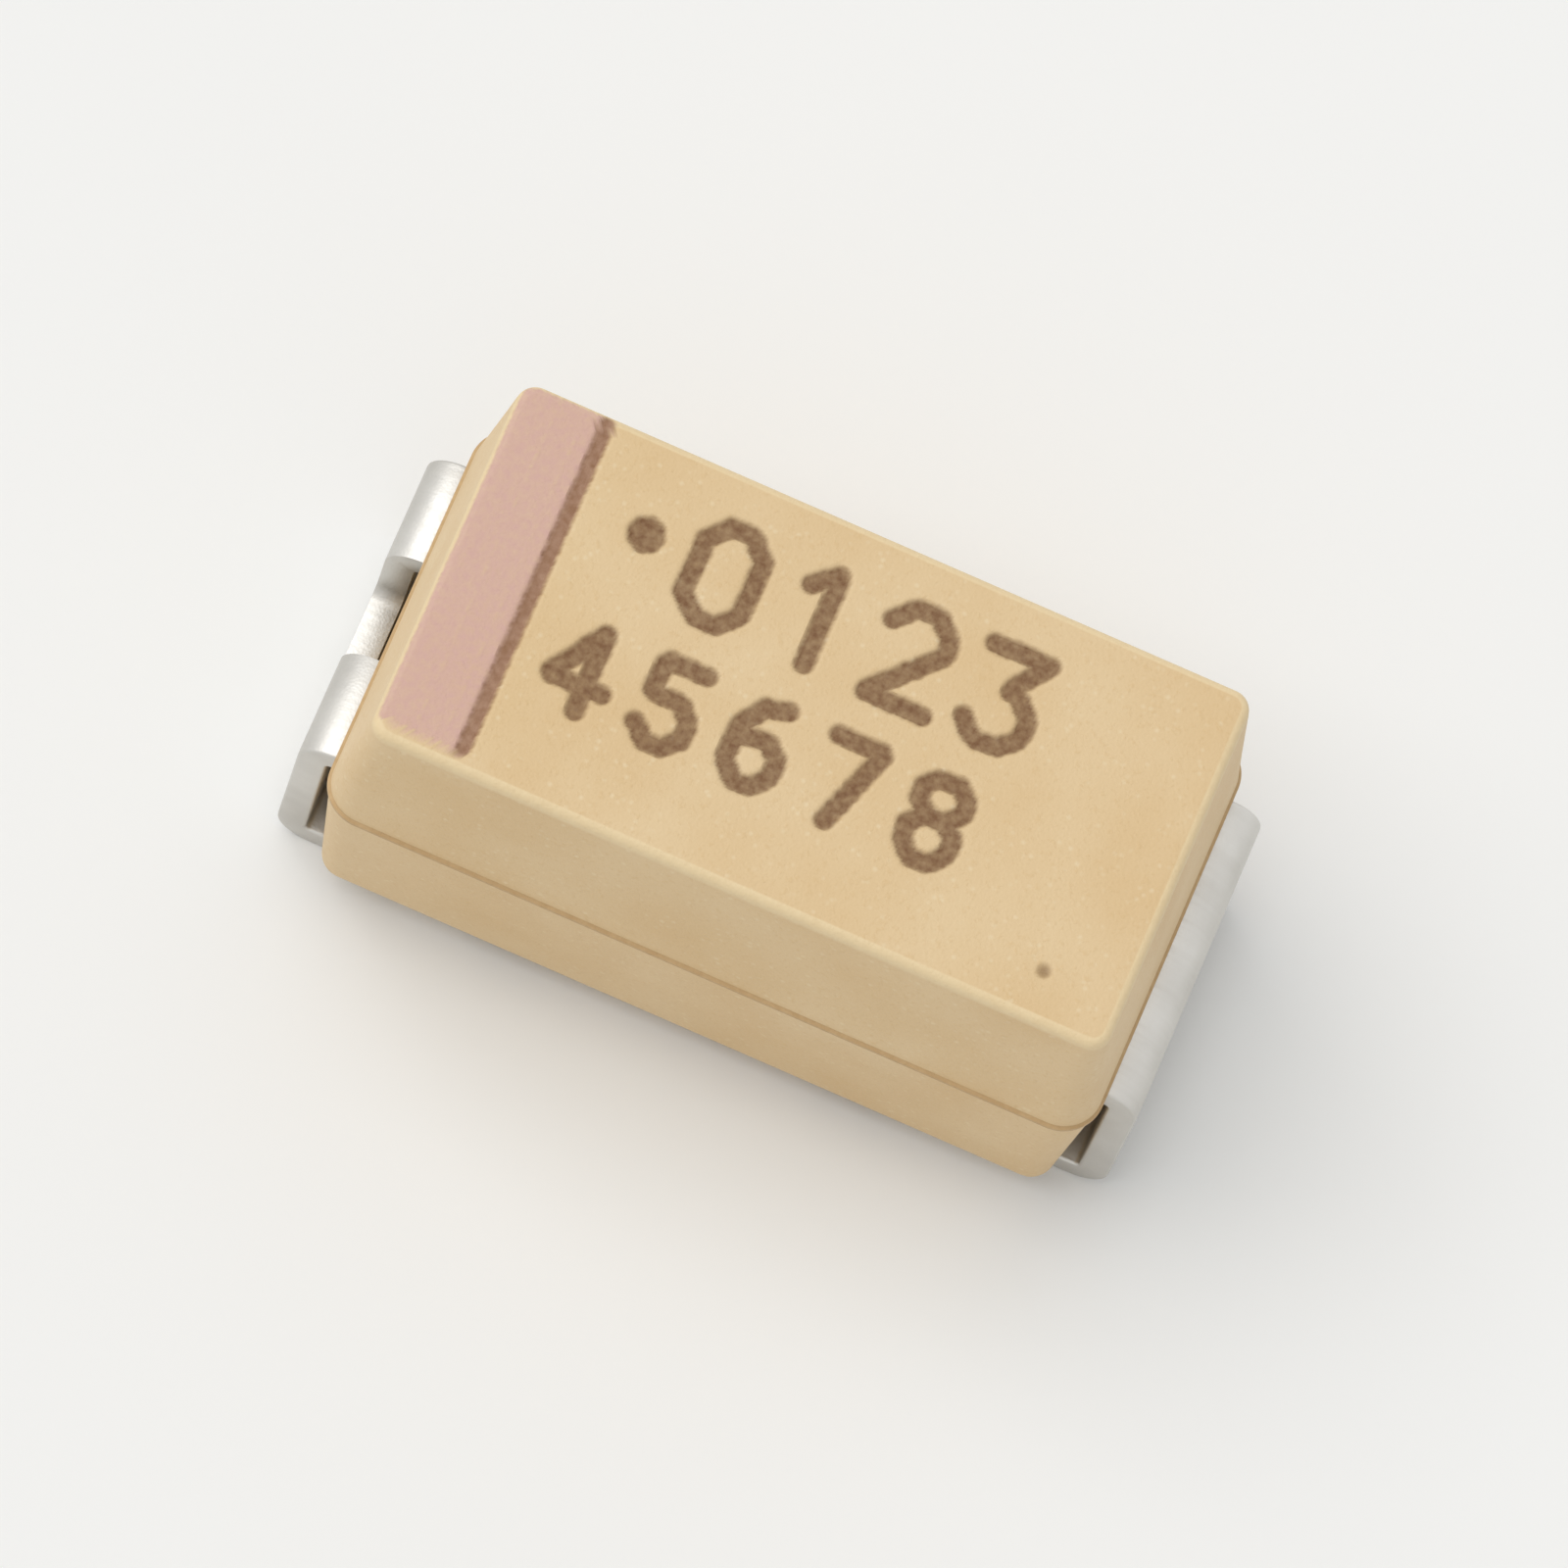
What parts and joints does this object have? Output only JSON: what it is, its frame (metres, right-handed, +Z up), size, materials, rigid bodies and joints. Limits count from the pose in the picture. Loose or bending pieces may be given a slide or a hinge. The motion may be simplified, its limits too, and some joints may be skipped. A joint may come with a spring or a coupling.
{
  "type": "tantalum capacitor",
  "caption": "Small moulded surface-mount capacitor: a drafted gold-coloured block with a darker polarity band and flat metal terminals folded down its ends and under it.",
  "frame": {"origin": "middle of the footprint on the solder plane that the two feet rest on", "axes": "+X along the length towards the cathode end (the polarity band is at the -X anode end), +Y across the width, +Z up out of the marked top face"},
  "size_m": [0.0032, 0.0016, 0.0016],
  "materials": {
    "gold_epoxy": "matte moulded",
    "tinned_strip": "matte tin plated",
    "sintered_tantalum": "sintered porous",
    "tantalum_wire": "drawn",
    "fluoropolymer": "skived sheet",
    "manganese_dioxide": "matte pyrolysed",
    "graphite": "matte dipped",
    "silver_paint": "matte painted",
    "silver_adhesive": "cured paste"
  },
  "bodies": {
    "root": {"moulded_case": "gold_epoxy", "anode_terminal": "tinned_strip", "cathode_terminal": "tinned_strip", "tantalum_pellet": "sintered_tantalum", "riser_wire": "tantalum_wire", "wire_washer": "fluoropolymer", "manganese_dioxide_layer": "manganese_dioxide", "graphite_layer": "graphite", "silver_layer": "silver_paint", "silver_adhesive": "silver_adhesive"}
  },
  "joints": []
}
